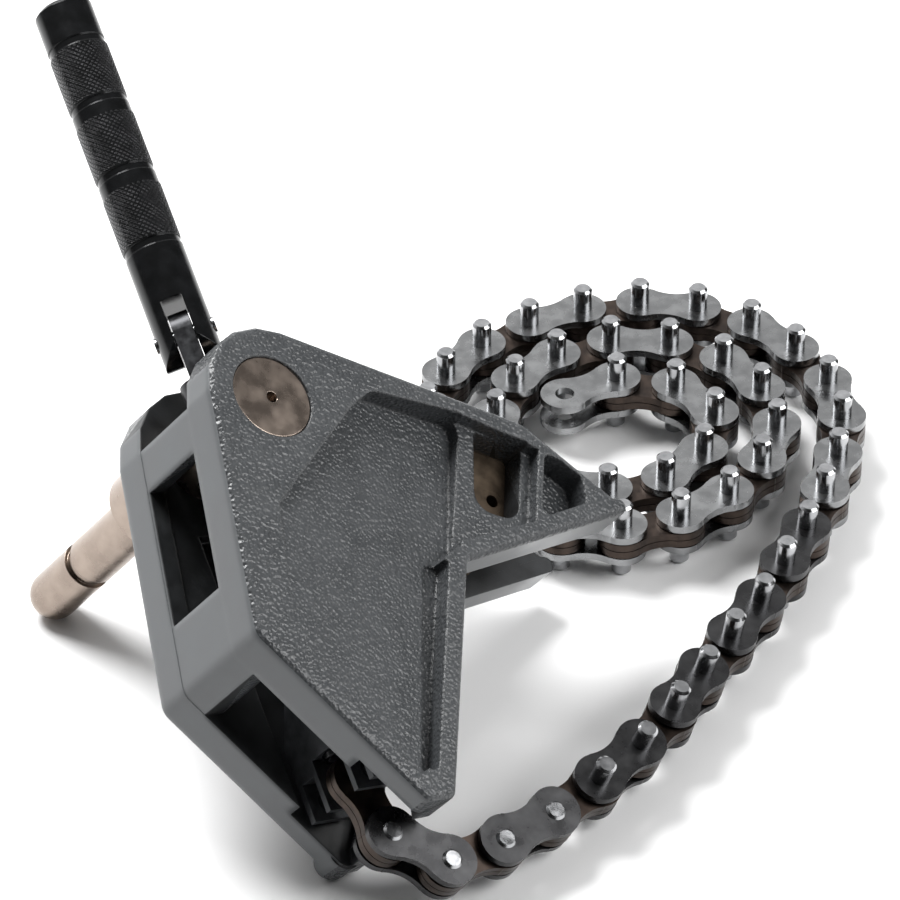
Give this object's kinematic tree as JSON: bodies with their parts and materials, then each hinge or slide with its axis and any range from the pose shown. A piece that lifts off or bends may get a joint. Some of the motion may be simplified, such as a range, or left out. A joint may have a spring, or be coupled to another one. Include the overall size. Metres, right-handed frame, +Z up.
{
  "type": "chain pipe vise",
  "caption": "Chain pipe vise lying on its side, with its folding screw handle and a leaf chain coiled beside it.",
  "frame": {"origin": "centre of the bounding box at the bottom, on the surface the vise and its chain lie on", "axes": "+Z up from the surface; +X towards the coiled chain; +Y away from the viewer"},
  "size_m": [0.2176, 0.2354, 0.1412],
  "materials": {
    "painted_iron": "dark grey hammered paint, jaw faces left smooth",
    "claw_steel": "hardened, brownish heat tint",
    "nickel_steel": "turned, warm grey",
    "screw_steel": "dark oiled",
    "black_oxide": "black oxide, satin",
    "yoke_steel": "dark grey",
    "outer_plate_steel": "punched plate, oiled",
    "inner_plate_steel": "punched plate, brownish",
    "pin_steel": "ground pin"
  },
  "bodies": {
    "frame": {"frame_casting": "painted_iron", "claw_near": "claw_steel", "claw_far": "claw_steel", "claw_sleeve": "claw_steel", "claw_dowels": "pin_steel"},
    "guide": {"guide_pin": "nickel_steel"},
    "yoke": {"chain_yoke": "yoke_steel", "anchor_pin": "pin_steel", "anchor_rings": "black_oxide"},
    "screw": {"screw_spindle": "screw_steel", "spindle_ring": "black_oxide"},
    "handle": {"handle": "black_oxide", "handle_hinge_pin": "pin_steel"},
    "link_00": {"link_00_inner": "inner_plate_steel"},
    "link_01": {"link_01_plates": "outer_plate_steel", "link_01_pins": "pin_steel"},
    "link_02": {"link_02_inner": "inner_plate_steel"},
    "link_03": {"link_03_plates": "outer_plate_steel", "link_03_pins": "pin_steel"},
    "link_04": {"link_04_inner": "inner_plate_steel"},
    "link_05": {"link_05_plates": "outer_plate_steel", "link_05_pins": "pin_steel"},
    "link_06": {"link_06_inner": "inner_plate_steel"},
    "link_07": {"link_07_plates": "outer_plate_steel", "link_07_pins": "pin_steel"},
    "link_08": {"link_08_inner": "inner_plate_steel"},
    "link_09": {"link_09_plates": "outer_plate_steel", "link_09_pins": "pin_steel"},
    "link_10": {"link_10_inner": "inner_plate_steel"},
    "link_11": {"link_11_plates": "outer_plate_steel", "link_11_pins": "pin_steel"},
    "link_12": {"link_12_inner": "inner_plate_steel"},
    "coil": {"coil_a_plates": "outer_plate_steel", "coil_a_inners": "inner_plate_steel", "coil_a_pins": "pin_steel", "coil_b_plates": "outer_plate_steel", "coil_b_inners": "inner_plate_steel", "coil_b_pins": "pin_steel"},
    "end_1": {"end_1_inner": "inner_plate_steel"},
    "end_2": {"end_2_plates": "outer_plate_steel", "end_2_pins": "pin_steel"},
    "end_3": {"end_3_inner": "inner_plate_steel"},
    "end_4": {"end_4_plates": "outer_plate_steel", "end_4_pin": "pin_steel"}
  },
  "joints": [
    {"name": "guide_pin_swing", "type": "hinge", "parent": "frame", "child": "guide", "pos_m": [-0.05623, -0.02375, 0.07443], "axis": [0.5417, -0.2607, 0.7991], "range_deg": [-1.5, 0.8]},
    {"name": "yoke_travel", "type": "slide", "parent": "guide", "child": "yoke", "axis": [-0.3482, 0.7957, 0.4956], "range_m": [0, 0.015]},
    {"name": "screw_turn", "type": "hinge", "parent": "yoke", "child": "screw", "pos_m": [-0.03319, -0.07639, 0.04164], "axis": [-0.3482, 0.7957, 0.4956], "range_deg": [0, 1800]},
    {"name": "handle_fold", "type": "hinge", "parent": "screw", "child": "handle", "pos_m": [-0.06633, -0.00068, 0.0888], "axis": [0.9328, 0.2416, 0.2675], "range_deg": [-90, 90]},
    {"name": "link_00_hinge", "type": "hinge", "parent": "yoke", "child": "link_00", "pos_m": [-0.02419, -0.09695, 0.02883], "axis": [-0.5417, 0.2607, -0.7991], "range_deg": [-1, 8]},
    {"name": "link_01_hinge", "type": "hinge", "parent": "link_00", "child": "link_01", "pos_m": [-0.01664, -0.10789, 0.02014], "axis": [-0.3875, 0.3508, -0.8525], "range_deg": [-1, 10]},
    {"name": "link_02_hinge", "type": "hinge", "parent": "link_01", "child": "link_02", "pos_m": [-0.00265, -0.10995, 0.01293], "axis": [-0.3875, 0.3508, -0.8525], "range_deg": [0, 12]},
    {"name": "link_03_hinge", "type": "hinge", "parent": "link_02", "child": "link_03", "pos_m": [0.01047, -0.10117, 0.01129], "axis": [-0.3311, 0.3446, -0.8784], "range_deg": [0, 12]},
    {"name": "link_04_hinge", "type": "hinge", "parent": "link_03", "child": "link_04", "pos_m": [0.02252, -0.09084, 0.0108], "axis": [-0.3311, 0.3446, -0.8784], "range_deg": [0, 12]},
    {"name": "link_05_hinge", "type": "hinge", "parent": "link_04", "child": "link_05", "pos_m": [0.03387, -0.07975, 0.01115], "axis": [-0.2474, 0.2678, -0.9312], "range_deg": [0, 12]},
    {"name": "link_06_hinge", "type": "hinge", "parent": "link_05", "child": "link_06", "pos_m": [0.04423, -0.06774, 0.01185], "axis": [-0.2474, 0.2678, -0.9312], "range_deg": [0, 12]},
    {"name": "link_07_hinge", "type": "hinge", "parent": "link_06", "child": "link_07", "pos_m": [0.05301, -0.05451, 0.01178], "axis": [-0.2264, 0.1024, -0.9686], "range_deg": [0, 12]},
    {"name": "link_08_hinge", "type": "hinge", "parent": "link_07", "child": "link_08", "pos_m": [0.06072, -0.04064, 0.01145], "axis": [-0.2264, 0.1024, -0.9686], "range_deg": [0, 12]},
    {"name": "link_09_hinge", "type": "hinge", "parent": "link_08", "child": "link_09", "pos_m": [0.06885, -0.027, 0.01139], "axis": [-0.1311, 0.0775, -0.9883], "range_deg": [0, 12]},
    {"name": "link_10_hinge", "type": "hinge", "parent": "link_09", "child": "link_10", "pos_m": [0.07676, -0.01324, 0.01142], "axis": [-0.1311, 0.0775, -0.9883], "range_deg": [0, 12]},
    {"name": "link_11_hinge", "type": "hinge", "parent": "link_10", "child": "link_11", "pos_m": [0.0838, 0.00099, 0.01136], "axis": [-0.0636, 0.0214, -0.9977], "range_deg": [0, 12]},
    {"name": "link_12_hinge", "type": "hinge", "parent": "link_11", "child": "link_12", "pos_m": [0.09013, 0.01554, 0.01127], "axis": [-0.0636, 0.0214, -0.9977], "range_deg": [0, 12]},
    {"name": "coil_hinge", "type": "hinge", "parent": "link_12", "child": "coil", "pos_m": [0.09603, 0.03028, 0.01118], "axis": [-0.0012, -0.0042, -1], "range_deg": [0, 12]},
    {"name": "end_1_hinge", "type": "hinge", "parent": "coil", "child": "end_1", "pos_m": [0.06524, 0.04738, 0.0111], "axis": [0, 0, 1], "range_deg": [0, 12]},
    {"name": "end_2_hinge", "type": "hinge", "parent": "end_1", "child": "end_2", "pos_m": [0.06875, 0.06286, 0.0111], "axis": [0, 0, 1], "range_deg": [0, 12]},
    {"name": "end_3_hinge", "type": "hinge", "parent": "end_2", "child": "end_3", "pos_m": [0.05884, 0.07526, 0.0111], "axis": [0, 0, 1], "range_deg": [-2, 15]},
    {"name": "end_4_hinge", "type": "hinge", "parent": "end_3", "child": "end_4", "pos_m": [0.04317, 0.07784, 0.0111], "axis": [0, 0, 1], "range_deg": [-2, 25]}
  ],
  "couplings": [
    {"joint": "screw_turn", "follows": "yoke_travel", "rad_per_m": 2094.4}
  ]
}
